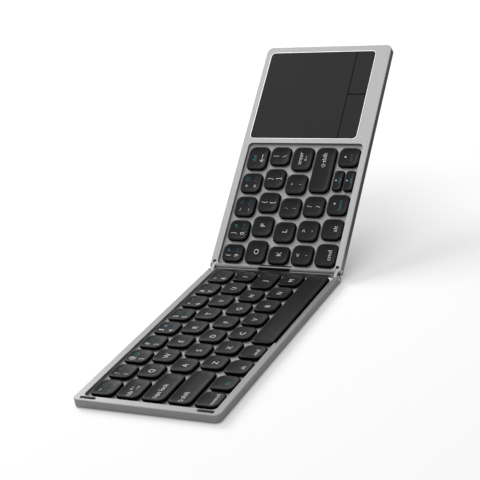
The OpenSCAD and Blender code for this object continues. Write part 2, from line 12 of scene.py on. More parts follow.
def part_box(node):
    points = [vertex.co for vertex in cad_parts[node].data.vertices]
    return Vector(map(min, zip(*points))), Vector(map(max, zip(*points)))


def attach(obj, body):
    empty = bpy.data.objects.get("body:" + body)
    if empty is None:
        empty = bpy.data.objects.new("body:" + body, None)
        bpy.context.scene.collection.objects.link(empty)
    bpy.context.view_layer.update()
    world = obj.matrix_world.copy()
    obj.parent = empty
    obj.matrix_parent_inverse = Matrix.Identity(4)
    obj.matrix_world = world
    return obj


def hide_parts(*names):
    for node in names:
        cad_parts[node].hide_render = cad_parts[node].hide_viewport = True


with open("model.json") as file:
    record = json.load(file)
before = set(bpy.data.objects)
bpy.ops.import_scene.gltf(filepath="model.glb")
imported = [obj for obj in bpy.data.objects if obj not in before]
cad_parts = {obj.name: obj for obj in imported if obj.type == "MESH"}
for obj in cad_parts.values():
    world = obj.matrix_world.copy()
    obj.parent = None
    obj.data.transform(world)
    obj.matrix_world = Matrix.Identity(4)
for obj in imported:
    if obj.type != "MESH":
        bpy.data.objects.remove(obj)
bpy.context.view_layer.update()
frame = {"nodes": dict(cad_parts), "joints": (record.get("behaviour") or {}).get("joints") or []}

bl_info = {
    "name": "Folding keyboard",
    "version": (1, 0, 0),
    "blender": (4, 5, 0),
    "location": "3D View > Sidebar > Keyboard",
    "description": "Dresses a folding keyboard's frame with caps, legends, metal and a studio",
    "category": "Object",
}

MM = 0.001
HAIR = 0.001 * MM  # left straight between two arcs, so that their ends stay apart
TOUCHING = 0.01 * MM  # a point nearer than this to a plane lies on it
JOINTS = {joint["name"]: joint for joint in frame["joints"]}
PIN_LEFT = np.array(JOINTS["fold_left"]["pos_m"])
PIN_RIGHT = np.array(JOINTS["fold_right"]["pos_m"])
# How far each pivot is open: at its low limit its two sides lie flat.
OPEN_LEFT, OPEN_RIGHT = (
    -math.radians(JOINTS[name]["range_deg"][0]) for name in ("fold_left", "fold_right")
)
FOLD = OPEN_LEFT + OPEN_RIGHT  # the right half's angle over the left one
LEFT_LOW, LEFT_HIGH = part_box("left_frame")
BODY_T = LEFT_HIGH[2] - LEFT_LOW[2]  # thickness of a half

SIDES = ("left", "right")
LEFT_KEYS = (
    "key_grave", "keys_digits", "key_tab", "keys_upper_letters", "key_caps",
    "keys_home_letters", "key_shift_left", "keys_lower_letters", "key_space", "keys_modifiers",
)
RIGHT_KEYS = tuple(
    node for node in frame["nodes"] if node.startswith("key") and node not in LEFT_KEYS
)


# ---- Places ----


def tilted(angle):
    """The axes of a frame turned up by an angle about the hinge's direction, as columns."""
    c, s = math.cos(angle), math.sin(angle)
    return np.array([[c, 0.0, -s], [0.0, 1.0, 0.0], [s, 0.0, c]])


# Each half's own frame, as its origin and axes: x runs to the typist's right from its hinge pin, y
# to the number row, and z up from its underside.
PLACES = {
    "left": (PIN_LEFT - (0, 0, BODY_T / 2), np.eye(3)),
    "right": (PIN_RIGHT - tilted(FOLD) @ (0, 0, BODY_T / 2), tilted(FOLD)),
}


def to_world(points, place):
    """The shared frame's points: a place's origin plus its axes applied to its own points."""
    origin, axes = PLACES[place]
    return np.asarray(points) @ axes.T + origin


def to_place(points, place):
    """A place's own points, from those of the shared frame: the inverse of to_world."""
    origin, axes = PLACES[place]
    return (np.asarray(points) - origin) @ axes


def node_points(node, place):
    """A CAD node's vertices (n, 3) in a place's own frame."""
    mesh = frame["nodes"][node].data
    flat = np.empty(len(mesh.vertices) * 3)
    mesh.vertices.foreach_get("co", flat)
    return to_place(flat.reshape(-1, 3), place)


def apart(triangles, axis, gap=0.2 * MM):
    """Splits triangles (n, 3, 3) where none crosses a gap along an axis: each one covers a stretch
    of it, and a gap lies where the next stretch starts beyond all the earlier ones' ends."""
    low, high = triangles[..., axis].min(1), triangles[..., axis].max(1)
    order = np.argsort(low)
    reach = np.maximum.accumulate(high[order])
    breaks = np.nonzero(low[order][1:] > reach[:-1] + gap)[0] + 1
    return np.split(triangles[order], breaks)


def node_boxes(node, place, *axes):
    """The boxes of a node's solids in a place's own frame, told apart along each axis in turn."""
    mesh = frame["nodes"][node].data
    mesh.calc_loop_triangles()
    corners = np.empty(len(mesh.loop_triangles) * 3, dtype=np.int32)
    mesh.loop_triangles.foreach_get("vertices", corners)
    groups = [node_points(node, place)[corners.reshape(-1, 3)]]
    for axis in axes:
        groups = [part for group in groups for part in apart(group, axis)]
    return [(group.min((0, 1)), group.max((0, 1))) for group in groups]


# ---- Surfaces ----

# Edges over this many degrees stay sharp, on moulded pieces and on turned or cut ones.
MOULDED = 50
CUT = 30
CORNERS = ((1, 1), (-1, 1), (-1, -1), (1, -1))


def plan(low, high):
    """The middle and the half sizes of a box, seen from above."""
    low, high = np.array(low[:2]), np.array(high[:2])
    return (low + high) / 2, (high - low) / 2


def full_turn(sides):
    """The angles of a circle's points."""
    return np.linspace(0, 2 * math.pi, sides, endpoint=False)


def circle(turns):
    """Points (n, 2) of a circle of radius 1: the cosine and sine of each turn."""
    return np.stack([np.cos(turns), np.sin(turns)], 1)


def rounded_ring(a, b, r, steps=7):
    """A rounded rectangle of half sizes a and b: corner arcs of radius r round (+-(a-r), +-(b-r)),
    as (4 * (steps + 1), 2) points, counter-clockwise from the top of the right side."""
    arcs = []
    for k, (sx, sy) in enumerate(CORNERS):
        turns = np.linspace(0.0, math.pi / 2, steps + 1) + k * math.pi / 2
        arcs.append((sx * (a - r), sy * (b - r)) + r * circle(turns))
    return np.concatenate(arcs)


def lifted(ring, z):
    """A flat ring (p, 2) at height z, as (p, 3)."""
    return np.column_stack([ring, np.full(len(ring), z)])


class Shell:
    """Collects surfaces, each a stack of closed rings, into one mesh."""

    def __init__(self):
        self.points = []
        self.faces = []
        self.inks = []
        self.count = 0

    def add(self, points, faces, ink=0):
        """Adds points (n, 3) and faces into them, with a material index for all or for each."""
        self.faces += [tuple(int(i) + self.count for i in face) for face in faces]
        self.inks += np.broadcast_to(ink, len(faces)).tolist()
        self.points.append(points)
        self.count += len(points)

    def rings(self, stack, closed=True, levels=0):
        """Adds a stack of rings (m, p, 3): quads join neighbours, and an n-gon closes each end.
        Faces point outwards where the rings run counter-clockwise seen from the stack's end.
        The first levels of quads, and the end before them, take the second material."""
        m, p, _ = stack.shape
        at = np.arange(m * p).reshape(m, p)
        step = np.roll(at, -1, axis=1)
        quads = np.stack([at[:-1], step[:-1], step[1:], at[1:]], -1).reshape(-1, 4)
        faces = list(quads)
        second = np.arange(len(quads)) < levels * p
        if closed:
            faces += [at[0][::-1], at[-1]]
            second = np.append(second, (levels > 0, False))
        self.add(stack.reshape(-1, 3), faces, second.astype(int))

    def build(self, name, place, finishes, smooth=True, sharp=None):
        """Makes the object, with its place in its mesh. Edges over sharp degrees stay sharp."""
        mesh = bpy.data.meshes.new(name)
        mesh.from_pydata(to_world(np.concatenate(self.points), place), [], self.faces)
        for finish in finishes:
            mesh.materials.append(finish)
        mesh.polygons.foreach_set("material_index", np.array(self.inks, dtype=np.int32))
        mesh.polygons.foreach_set("use_smooth", np.full(len(self.faces), smooth))
        mesh.update()
        if sharp is not None:
            mesh.set_sharp_from_angle(angle=math.radians(sharp))
        piece = bpy.data.objects.new(name, mesh)
        bpy.context.scene.collection.objects.link(piece)
        return piece


def dress(piece, body, slot, *nodes):
    """Rides a piece on its body and hides the CAD nodes that it stands for. The slot is not used.
    """
    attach(piece, body)
    if nodes:
        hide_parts(*nodes)


# ---- Materials ----


class Finish:
    """A node material under construction, reading Object coordinates."""

    def __init__(self, name, color, roughness, metallic=0.0, **sockets):
        self.material = bpy.data.materials.new(name)
        self.material.use_nodes = True
        self.tree = self.material.node_tree
        self.shader = self.tree.nodes["Principled BSDF"]
        self.coords = self.node("ShaderNodeTexCoord").outputs["Object"]
        self.color = tuple(color)[:3]
        self.shader.inputs["Base Color"].default_value = (*self.color, 1.0)
        self.shader.inputs["Roughness"].default_value = roughness
        self.shader.inputs["Metallic"].default_value = metallic
        for socket, value in sockets.items():
            self.shader.inputs[socket.replace("_", " ")].default_value = value
        self.roughness = roughness

    def node(self, kind, **values):
        """Adds a node with its settings."""
        made = self.tree.nodes.new(kind)
        for key, value in values.items():
            setattr(made, key, value)
        return made

    def link(self, out, into):
        """Joins an output to an input."""
        self.tree.links.new(out, into)

    def noise(self, scale, detail, stretch=(1, 1, 1)):
        """A noise whose cells are 1/scale metres wide, or longer where stretch is under 1."""
        mapping = self.node("ShaderNodeMapping")
        mapping.inputs["Scale"].default_value = stretch
        noise = self.node("ShaderNodeTexNoise")
        noise.inputs["Scale"].default_value = scale
        noise.inputs["Detail"].default_value = detail
        self.link(self.coords, mapping.inputs["Vector"])
        self.link(mapping.outputs["Vector"], noise.inputs["Vector"])
        return noise.outputs["Fac"]

    def spread(self, value, low, high, start=0.3, end=0.7):
        """Maps start..end of a value to low..high."""
        ramp = self.node("ShaderNodeMapRange")
        ramp.inputs["From Min"].default_value = start
        ramp.inputs["From Max"].default_value = end
        ramp.inputs["To Min"].default_value = low
        ramp.inputs["To Max"].default_value = high
        self.link(value, ramp.inputs["Value"])
        return ramp.outputs["Result"]

    def tint(self, value, amount):
        """Lightens and darkens the base colour by amount, following a value."""
        mix = self.node("ShaderNodeMix", data_type="RGBA")
        dark, light = ([c * (1 + s * amount) for c in self.color] for s in (-1, 1))
        mix.inputs["A"].default_value = (*dark, 1.0)
        mix.inputs["B"].default_value = (*light, 1.0)
        self.link(value, mix.inputs["Factor"])
        self.link(mix.outputs["Result"], self.shader.inputs["Base Color"])

    def grain(self, value, amount):
        """Varies the roughness by amount, following a value."""
        out = self.spread(value, self.roughness - amount, self.roughness + amount)
        self.link(out, self.shader.inputs["Roughness"])

    def bump(self, value, height, strength):
        """Raises the surface by a strength of height metres, following a value."""
        bump = self.node("ShaderNodeBump")
        bump.inputs["Distance"].default_value = height
        bump.inputs["Strength"].default_value = strength
        self.link(value, bump.inputs["Height"])
        self.link(bump.outputs["Normal"], self.shader.inputs["Normal"])


def blasted_alloy(name, color, roughness=0.42, metallic=1.0):
    """Anodised aluminium, bead blasted: a fine even grain and a faint cloudiness."""
    finish = Finish(name, color, roughness, metallic)
    fine = finish.noise(scale=9000, detail=2.0)
    finish.bump(fine, height=0.004 * MM, strength=0.6)
    finish.grain(fine, amount=0.05)
    finish.tint(finish.noise(scale=45, detail=2.0), amount=0.03)
    return finish.material


def brushed_metal(name, color, roughness=0.35):
    """Metal with fine lines drawn along y."""
    finish = Finish(name, color, roughness, metallic=1.0)
    lines = finish.noise(scale=4000, detail=2.0, stretch=(1, 0.02, 1))
    finish.bump(lines, height=0.003 * MM, strength=0.6)
    finish.grain(lines, amount=0.08)
    finish.tint(lines, amount=0.06)
    return finish.material


def satin_plastic(name, color, roughness=0.34, specular=0.09):
    """Moulded plastic with a spark-eroded grain and slight wear in its gloss."""
    finish = Finish(name, color, roughness, Specular_IOR_Level=specular)
    grain = finish.noise(scale=6500, detail=2.0)
    finish.bump(grain, height=0.006 * MM, strength=0.5)
    finish.grain(finish.noise(scale=220, detail=3.0), amount=0.06)
    finish.tint(finish.noise(scale=120, detail=2.0), amount=0.08)
    return finish.material


def printed_ink(name, color):
    """Screen-printed ink, slightly uneven in cover."""
    finish = Finish(name, color, roughness=0.55, Specular_IOR_Level=0.3)
    finish.tint(finish.noise(scale=3000, detail=2.0), amount=0.06)
    return finish.material


def moulded_rubber(name, color):
    """Matt rubber with a fine bloom."""
    finish = Finish(name, color, roughness=0.78, Specular_IOR_Level=0.25)
    bloom = finish.noise(scale=2500, detail=4.0)
    finish.bump(bloom, height=0.01 * MM, strength=0.6)
    finish.tint(bloom, amount=0.15)
    return finish.material


def frosted_glass(name, color):
    """The touchpad's etched face over a dark back, with a very fine grain."""
    finish = Finish(name, color, roughness=0.32, Specular_IOR_Level=0.13)
    finish.bump(finish.noise(scale=14000, detail=1.0), height=0.0015 * MM, strength=0.4)
    finish.grain(finish.noise(scale=60, detail=2.0), amount=0.02)
    finish.tint(finish.noise(scale=30, detail=2.0), amount=0.05)
    return finish.material


def solder_mask(name, color):
    """A circuit board: lacquer over a pattern of tracks."""
    finish = Finish(name, color, roughness=0.35)
    bricks = finish.node("ShaderNodeTexBrick")
    bricks.inputs["Scale"].default_value = 300.0
    bricks.inputs["Mortar Size"].default_value = 0.06
    finish.link(finish.coords, bricks.inputs["Vector"])
    finish.tint(bricks.outputs["Fac"], amount=0.35)
    finish.bump(bricks.outputs["Fac"], height=0.02 * MM, strength=0.5)
    return finish.material


def foil_pouch(name, color):
    """A battery's creased foil."""
    finish = Finish(name, color, roughness=0.3, metallic=1.0)
    creases = finish.noise(scale=140, detail=4.0)
    finish.bump(creases, height=0.15 * MM, strength=0.5)
    finish.grain(creases, amount=0.08)
    # Painted shade and highlight: the tint follows the creases, darker in their hollows and lighter
    # on their ridges
    finish.tint(creases, amount=0.05)
    return finish.material


def color_property(label, default, note):
    """A colour of three parts from 0 to 1."""
    return FloatVectorProperty(
        name=label, description=note, subtype="COLOR", size=3, min=0.0, max=1.0, default=default
    )


def length_property(label, default, note):
    """A length in metres."""
    return FloatProperty(
        name=label, description=note, subtype="DISTANCE", unit="LENGTH", default=default, min=0.0
    )


class KeyboardColors(bpy.types.PropertyGroup):
    """Colours that a user would change."""

    alloy: color_property("Alloy", (0.26, 0.26, 0.263), "Silver anodised frames and covers")
    deck: color_property("Deck", (0.34, 0.34, 0.345), "Plates under the keys")
    spine: color_property("Spine", (0.09, 0.09, 0.095), "Dark bar between the halves")
    steel: color_property("Steel", (0.42, 0.42, 0.425), "Screws and the charging port")
    link: color_property("Link", (0.24, 0.24, 0.245), "End links of the hinge")
    pin: color_property("Pin", (0.9, 0.9, 0.9), "Polished hinge pins")
    cap: color_property("Keycap", (0.011, 0.011, 0.0115), "Satin plastic of the keys")
    # Key skirt: darker than the cap, as painted shade on the keys' sides and the lower half of
    # their shoulders; the high roughness is the skirt's matt finish
    skirt: color_property("Key skirt", (0.004, 0.004, 0.004), "Matt sides of the keys")
    pad: color_property("Touchpad", (0.012, 0.012, 0.013), "Frosted face of the touchpad")
    trim: color_property("Trim", (0.9, 0.9, 0.9), "Cut edge round the touchpad's window")
    # Glass edge: near-black strips along the gaps round the touchpad's buttons, painting the shade
    # in those gaps
    edge: color_property("Glass edge", (0.002, 0.002, 0.002), "Edges of the glass at its buttons")
    rubber: color_property("Rubber", (0.018, 0.018, 0.018), "Feet, bumpers and the cable cover")
    board: color_property("Board", (0.03, 0.16, 0.08), "Circuit boards")
    foil: color_property("Foil", (0.7, 0.7, 0.68), "Battery pouch")
    legend: color_property("Legend", (0.8, 0.8, 0.8), "Main printing on the keys")
    second: color_property("Second legend", (0.015, 0.19, 0.21), "Teal printing on the keys")
    third: color_property("Third legend", (0.025, 0.09, 0.16), "Blue printing on the keys")
    floor: color_property("Floor", (0.9, 0.9, 0.9), "Studio floor")


class KeyboardSizes(bpy.types.PropertyGroup):
    """Sizes of the dressing that a user would change."""

    cap_radius: length_property("Cap corner", 4.3 * MM, "Corner radius of a keycap")
    cap_soft: length_property("Soft edge", 0.75 * MM, "Width of the round edge on top of a cap")
    cap_draft: length_property("Draft", 0.25 * MM, "How far a cap's skirt leans in")
    cap_lip: length_property("Lip", 0.35 * MM, "Flat rim between the round edge and the dish")
    dish: length_property("Dish", 0.7 * MM, "Depth of the dish in a cap's top")
    cap_wall: length_property("Cap wall", 1.2 * MM, "Thickness of a cap's skirt")
    cap_hollow: length_property("Cap hollow", 0.5 * MM, "Depth of the hollow under a cap")
    pad_gap: length_property("Touchpad gap", 0.15 * MM, "Gap round the touchpad's glass")
    pad_corner: length_property("Touchpad corner", 3 * MM, "Corner radius of its window")
    trim: length_property("Trim", 0.26 * MM, "Width of the bright trim round its window")
    # Width of the near-black strips along the gaps at the buttons, which are painted shade
    pad_edge: length_property("Dark edge", 0.4 * MM, "Width of the dark edges at its buttons")
    ink: length_property("Ink", 0.02 * MM, "Thickness of the printing")
    homing: length_property("Homing bar", 3.6 * MM, "Length of the bars on two home keys")


def colors():
    """The scene's colours."""
    return bpy.context.scene.keyboard_colors


def sizes():
    """The scene's sizes."""
    return bpy.context.scene.keyboard_sizes


def material(name, maker, color, **values):
    """A named finish, made once."""
    return bpy.data.materials.get(name) or maker(name, color, **values)


def cap_materials():
    """A keycap's two finishes: its top, and its skirt, which is matt and darker than the top as
    painted shade.
    """
    tint = colors()
    return [
        material("satin_keycap", satin_plastic, tint.cap),
        material("matt_skirt", satin_plastic, tint.skirt, roughness=0.7, specular=0.0),
    ]


def legend_materials():
    """The inks, in the order of WHITE, TEAL and BLUE."""
    tint = colors()
    return [
        material("ink_white", printed_ink, tint.legend),
        material("ink_teal", printed_ink, tint.second),
        material("ink_blue", printed_ink, tint.third),
    ]


# ---- Keycaps ----

PAINTED_SHADE_LEVELS = 6  # levels of a cap's rings up to the middle of its shoulder, which are matt and take the skirt's darker colour as painted shade
PRESSED_GAP = 0.02 * MM  # left between the skirt of a cap pressed all the way and its deck
SHOULDER_TURNS = np.linspace(0, math.pi / 2, 7)  # of the rings over a cap's shoulder
DISH_STOPS = (*np.linspace(0, 0.9, 10), 0.985)  # of the rings down its dish, 1 at the middle
ROUNDEST = 0.62  # largest corner radius of a cap, as a share of its shorter half size
TIGHTER = 0.6  # how much smaller a corner radius gets for each millimetre that a ring moves in
LEAST_DISH_R = 0.4 * MM  # least corner radius of a dish
LEAST_WALL_R = 0.5 * MM  # and of the hollow under a cap
FULL_DISH = 7 * MM  # a cap whose shorter half size is under this has a shallower dish
HALVINGS = 18  # steps in the search for the ring through a point
STEM_R = 1.5 * MM
STEM_SHARE = 0.3  # how far a wide cap's two stems stand from its middle, as a share of its width
WIDE = 1.6  # a cap over this many times as wide as deep has two stems
HOMED = ("F", "J")  # letters with a homing bar
BAR_PLACE = 0.62  # how far in front of the middle a homing bar lies, as a share of the half depth
BAR_HALF = 0.42 * MM  # half its width
BAR_LEVELS = ((0, -0.15), (0, 0.16), (0.1, 0.26), (0.26, 0.3))  # its rings, in and up in mm


class Cap:
    """One keycap's outline and top, from the box of its CAD solid in its half's frame: its middle
    x and y, half sizes a and b, corner radius r, and the same of its dish."""

    def __init__(self, low, high, top, bottom):
        (self.x, self.y), (self.a, self.b) = plan(low, high)
        self.top, self.bottom = top, bottom
        size = sizes()
        self.r = min(size.cap_radius, ROUNDEST * min(self.a, self.b))
        rim = size.cap_draft + size.cap_soft + size.cap_lip
        self.dish_a, self.dish_b = self.a - rim, self.b - rim
        self.dish_r = max(self.r - TIGHTER * rim, LEAST_DISH_R)
        self.dish_depth = size.dish * min(1.0, min(self.a, self.b) / FULL_DISH)

    def dish_outline(self, t):
        """Half sizes and corner radius of the dish's ring at t, 0 at its edge and 1 at its middle:
        both halves shrink by t times the shorter one, and the corners grow round."""
        short = np.minimum(self.dish_a, self.dish_b)
        a, b = self.dish_a - short * t, self.dish_b - short * t
        share = self.dish_r / short
        share = share + (1.0 - share) * t
        return a, b, np.minimum(a, b) * share

    def dish_height(self, t):
        """A bowl that falls away at its edge: the lip's height less depth * (1 - (1 - t)^3)."""
        return self.top - self.dish_depth * (1.0 - (1.0 - t) ** 3)

    def height_at(self, x, y):
        """The top's height over points, from the t of the ring that passes through each one, found
        by halving: a point is inside a ring where its rounded-box distance is negative."""
        px, py = np.abs(x - self.x), np.abs(y - self.y)
        low, high = np.zeros_like(px), np.ones_like(px)
        for _ in range(HALVINGS):
            t = (low + high) / 2
            a, b, r = self.dish_outline(t)
            qx, qy = px - (a - r), py - (b - r)
            outside = np.hypot(np.maximum(qx, 0), np.maximum(qy, 0))
            distance = outside + np.minimum(np.maximum(qx, qy), 0) - r
            low, high = np.where(distance < 0, t, low), np.where(distance < 0, high, t)
        return self.dish_height(low)

    def stack(self):
        """Rings from the hollow's ceiling down to the skirt's foot, up the leaning skirt, over a
        quarter-round shoulder and the lip, and down the bowl. At each turn the shoulder is in by
        its width times 1 - cos(turn) and up by its width times sin(turn)."""
        size = sizes()
        wall_r = max(self.r - size.cap_wall, LEAST_WALL_R)
        wall = rounded_ring(self.a - size.cap_wall, self.b - size.cap_wall, wall_r)
        rings = [lifted(wall, self.bottom + size.cap_hollow), lifted(wall, self.bottom)]
        rings.append(lifted(rounded_ring(self.a, self.b, self.r), self.bottom))
        shoulder = self.top - size.cap_soft
        for turn in SHOULDER_TURNS:
            inset = size.cap_draft + size.cap_soft * (1 - math.cos(turn))
            ring = rounded_ring(self.a - inset, self.b - inset, self.r - TIGHTER * inset)
            rings.append(lifted(ring, shoulder + size.cap_soft * math.sin(turn)))
        for t in DISH_STOPS:
            rings.append(lifted(rounded_ring(*self.dish_outline(t)), float(self.dish_height(t))))
        return np.stack(rings) + (self.x, self.y, 0)


def caps_of(node, place):
    """The caps of a key node, from left to right. A skirt ends a gap above the lowest point of the
    CAD cap's side."""
    boxes = node_boxes(node, place, 0)
    top = max(high[2] for _, high in boxes)
    points = node_points(node, place)
    first_low, _ = boxes[0]
    left_side = points[np.abs(points[:, 0] - first_low[0]) < TOUCHING]
    bottom = left_side[:, 2].min() + PRESSED_GAP
    return [Cap(low, high, top, bottom) for low, high in boxes]


def stem_rings(x, y, low, high):
    """A key's guide stem: a circle carried straight up, from low to high."""
    ring = rounded_ring(STEM_R, STEM_R, STEM_R, steps=5) + (x, y)
    return np.stack([lifted(ring, low), lifted(ring, high)])


def homing_bar(cap, length):
    """A raised bar near a cap's front edge, with half-round ends: each ring is its outline moved in
    and up from the dish by a level's two steps."""
    y = cap.y - BAR_PLACE * cap.b
    base = float(cap.height_at(cap.x, y))
    rings = []
    for inset, rise in BAR_LEVELS:
        half = BAR_HALF - inset * MM
        ring = rounded_ring(length / 2 - inset * MM, half, half - HAIR, steps=4)
        rings.append(lifted(ring + (cap.x, y), base + rise * MM))
    return np.stack(rings)


# ---- Legends ----

WHITE, TEAL, BLUE = range(3)  # the inks
# Heights of a capital, in mm
ARROW = 4.0
LETTER = 3.7
DIGIT = 3.3
WORD = 3.2
MEDIUM = 2.8
SIGN = 2.6
SMALL = 2.4
FUNCTION = 2.1
PAGE = 1.6
# Places from the middle of a cap, in mm
UPPER_ROW = 3.2
LOWER_ROW = -3.0
WORD_ROW = -2.3  # of the words on the keys beside the space bar
DIGIT_X = -2.8  # of a digit on the left half
RIGHT_DIGIT_X = -2.3  # and on the right one
ASIDE = 5.3  # how far right of a digit its second marks stand
DIGIT_SIGNS = ("☼", "☀", "⌕", "◉", "⌸", "◂◂", "▸", "▸▸")


def mark(text, x=0.0, y=0.0, height=WORD, ink=WHITE, align="CENTER"):
    """One mark: x and y are from the cap's middle and height is that of a capital, all in mm."""
    return text, x, y, height, ink, align


def word(text, x, y=0.0):
    """A word that starts at x."""
    return mark(text, x, y, align="LEFT")


def letter(text, x=0.0):
    """A letter key's one mark."""
    return [mark(text, x, height=LETTER)]


def pair(upper, lower, x=0.0):
    """Two signs, one over the other."""
    return [mark(upper, x, UPPER_ROW, DIGIT), mark(lower, x, LOWER_ROW, DIGIT)]


def number(upper, lower, sign, function, x=DIGIT_X, aside=ASIDE):
    """A digit under its sign, with a teal sign and a blue function name on their right."""
    return [
        *pair(upper, lower, x),
        mark(sign, x + aside, UPPER_ROW, SIGN, TEAL),
        mark(function, x + aside, LOWER_ROW, FUNCTION, BLUE),
    ]


def side_arrow(sign, text, ink):
    """An arrow over a small word."""
    return [mark(sign, 0.6, 2.7, ARROW), mark(text, -0.2, -1.4, SMALL, ink)]


def half_arrow(sign, text):
    """The same on a key of half the depth."""
    return [mark(sign, 0.0, 1.5), mark(text, 0.0, -1.3, PAGE, TEAL)]


# Marks on each key of a node, from left to right
LEGENDS = {
    "key_grave": [number("~", "`", "⌂", "esc")],
    "keys_digits": [
        number(upper, str(digit), sign, f"F{digit}")
        for digit, (upper, sign) in enumerate(zip("!@#$%^&*", DIGIT_SIGNS), 1)
    ],
    "key_tab": [[word("tab", -8.3), mark("⟵", 0.4, 1.6, SMALL), mark("⟶", 1.6, -1.6, SMALL)]],
    "keys_upper_letters": [letter(text) for text in "QWERTYUI"],
    "key_caps": [[word("caps lock", -12.6)]],
    "keys_home_letters": [letter(text) for text in "ASDFGHJ"],
    "key_shift_left": [[mark("⇧", -14.6, height=MEDIUM), word("shift", -12.4)]],
    "keys_lower_letters": [letter(text) for text in "ZXCVBNM"],
    "keys_modifiers": [
        [mark("control", 0.0, WORD_ROW, MEDIUM)],
        [mark("fn", 0.0, -1.4, WORD, TEAL)],
        [mark("alt", 0.0, WORD_ROW, MEDIUM)],
        [mark("cmd", 0.0, WORD_ROW, MEDIUM)],
    ],
    "key_9": [number("(", "9", "◤", "F9", -1.7, 4.0)],
    "key_0": [number(")", "0", "◢", "F10", RIGHT_DIGIT_X)],
    "key_minus": [number("–", "-", "◫", "F11", RIGHT_DIGIT_X)],
    "key_equals": [number("+", "=", "□", "F12", RIGHT_DIGIT_X)],
    "key_delete": [[mark("del", 0.0, 2.7, WORD, TEAL), mark("⟵", 0.0, -3.2, ARROW)]],
    "key_o": [letter("O")],
    "key_p": [letter("P", 1.0)],
    "key_bracket_open": [pair("{", "[")],
    "key_bracket_shut": [pair("}", "]")],
    "key_backslash": [pair("|", "\\")],
    "key_k": [letter("K", 1.0)],
    "key_l": [letter("L", 1.0)],
    "key_semicolon": [pair(":", ";")],
    "key_quote": [pair("\"", "'")],
    "key_enter": [[mark("enter", 0.6, 1.5), mark("⟵", 0.6, -2.4, SIGN)]],
    "key_comma": [pair("<", ",")],
    "key_period": [pair(">", ".")],
    "key_slash": [pair("?", "/")],
    "key_shift_right": [[mark("⇧", 3.6, 0.6, MEDIUM), word("shift", 5.8, 0.6)]],
    "key_command": [[mark("cmd", 0.0, -2.0)]],
    "key_alt": [[mark("alt", 0.6, -2.0)]],
    "key_arrow_left": [side_arrow("◂", "home", TEAL)],
    "key_arrow_up": [half_arrow("▴", "pgup")],
    "key_arrow_down": [half_arrow("▾", "pgdn")],
    "key_arrow_right": [side_arrow("▸", "end", BLUE)],
}
THINNER = -0.006  # how much slimmer than the font the strokes are drawn, as a share of its size
CAPITAL = 0.727  # height of a capital in the font, as a share of its size
WORD_MIDDLE = 0.38  # middle of a word in small letters, as a share of a capital's height
CURVE_STEPS = 3  # in each curve of a letter's outline


def text_mesh(text, size, align, thickness):
    """A mark's outline as a closed solid, a thickness deep on either side of its plane."""
    curve = bpy.data.curves.new("word", "FONT")
    curve.body = text
    curve.size = size
    curve.align_x = align
    curve.extrude = thickness
    curve.resolution_u = CURVE_STEPS
    curve.offset = THINNER * size
    holder = bpy.data.objects.new("word", curve)
    mesh = bpy.data.meshes.new_from_object(holder)
    points = np.empty(len(mesh.vertices) * 3)
    mesh.vertices.foreach_get("co", points)
    faces = [tuple(p.vertices) for p in mesh.polygons]
    bpy.data.objects.remove(holder)
    bpy.data.curves.remove(curve)
    bpy.data.meshes.remove(mesh)
    return points.reshape(-1, 3), faces


def print_marks(shell, cap, marks, thickness):
    """Lays a cap's marks on its dished top: each point keeps its place in plan and takes the top's
    height there, plus its own height in the ink. A centred mark is placed by its middle, and any
    other by its start."""
    for text, x, y, height, ink, align in marks:
        points, faces = text_mesh(text, height * MM / CAPITAL, align, thickness)
        if not len(points):
            raise RuntimeError(f"no outline for {text!r}")
        middle, _ = plan(points.min(0), points.max(0))
        if align == "LEFT":
            middle = np.array((0.0, WORD_MIDDLE * height * MM))
        points[:, :2] += (cap.x + x * MM, cap.y + y * MM) - middle
        points[:, 2] += cap.height_at(points[:, 0], points[:, 1])
        shell.add(points, faces, ink)


def make_keys(node, place):
    """One key node's caps, with their stems and homing bars, and its printing."""
    size = sizes()
    caps = caps_of(node, place)
    floor = node_points(node, place)[:, 2].min()
    shell, printing = Shell(), Shell()
    marks = LEGENDS.get(node, [[]] * len(caps))
    if len(marks) != len(caps):
        raise RuntimeError(f"{node} has {len(caps)} caps and {len(marks)} sets of marks")
    for cap, marks_on_cap in zip(caps, marks):
        shell.rings(cap.stack(), levels=PAINTED_SHADE_LEVELS)
        ceiling = cap.bottom + size.cap_hollow
        reach = STEM_SHARE * 2 * cap.a if cap.a > WIDE * cap.b else 0.0
        for shift in sorted({-reach, reach}):
            shell.rings(stem_rings(cap.x + shift, cap.y, floor, ceiling))
        if any(text in HOMED for text, *_ in marks_on_cap):
            shell.rings(homing_bar(cap, size.homing))
        print_marks(printing, cap, marks_on_cap, size.ink)
    piece = shell.build(f"caps_{node}", place, cap_materials(), sharp=MOULDED)
    dress(piece, node, "keycap", node)
    if printing.count:
        legend = printing.build(f"print_{node}", place, legend_materials(), smooth=False)
        dress(legend, node, "keycap")


class KEYBOARD_OT_left_keys(bpy.types.Operator):
    """Make the left half's keycaps and their printing"""

    bl_idname = "keyboard.left_keys"
    bl_label = "Left keys"

    def execute(self, context):
        for node in LEFT_KEYS:
            make_keys(node, "left")
        return {"FINISHED"}


class KEYBOARD_OT_right_keys(bpy.types.Operator):
    """Make the right half's keycaps and their printing"""

    bl_idname = "keyboard.right_keys"
    bl_label = "Right keys"

    def execute(self, context):
        for node in RIGHT_KEYS:
            make_keys(node, "right")
        return {"FINISHED"}


# ---- Casing and touchpad ----

STRIP_CORNER = 0.3  # corner radius of a dark strip, as a share of its half width


def paint(node, finish):
    """Gives a CAD node a finish in place of its plain one."""
    mesh = frame["nodes"][node].data
    mesh.materials.clear()
    mesh.materials.append(finish)


